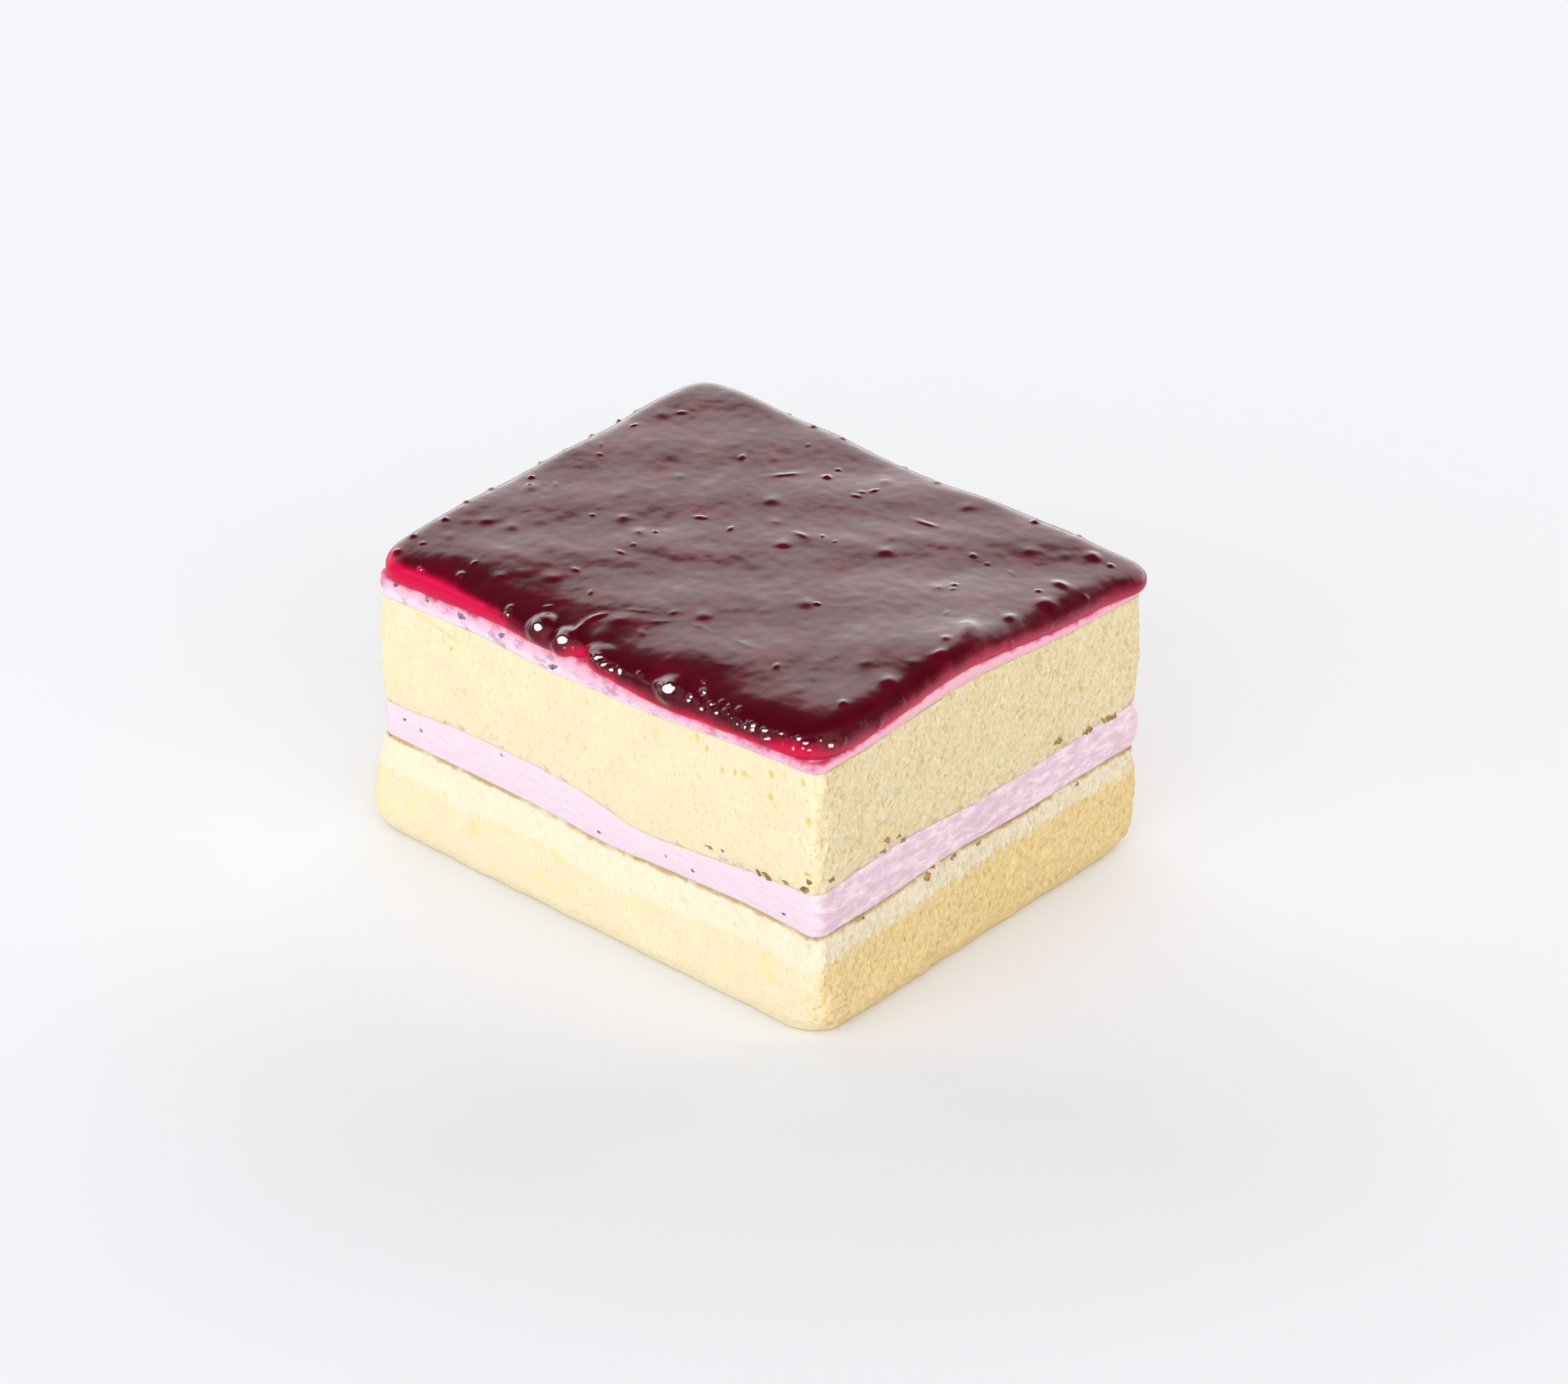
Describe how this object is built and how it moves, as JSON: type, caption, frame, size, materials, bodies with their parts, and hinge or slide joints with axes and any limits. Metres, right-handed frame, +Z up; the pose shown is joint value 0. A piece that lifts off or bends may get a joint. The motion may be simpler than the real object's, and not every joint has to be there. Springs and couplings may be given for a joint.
{
  "type": "tres leches cake",
  "caption": "Cut rectangular portion of soaked sponge cake with a lilac cream filling and a glossy dark berry jelly on top.",
  "frame": {"origin": "middle of the underside's box, on the surface that the portion stands on", "axes": "+Z up, +X along the longer cut side"},
  "size_m": [0.0864, 0.071, 0.0469],
  "materials": {
    "soaked_sponge": "soft sponge crumb, wet below and dry above",
    "lilac_cream": "smooth cut cream, faint knife streaks",
    "sponge": "fine dry sponge crumb",
    "stained_cream": "smeared cream stained by the jelly",
    "jelly": "glossy set berry jelly with seeds"
  },
  "bodies": {
    "root": {"lower_sponge": "soaked_sponge", "cream_filling": "lilac_cream", "upper_sponge": "sponge", "top_cream": "stained_cream", "berry_jelly": "jelly"}
  },
  "joints": []
}
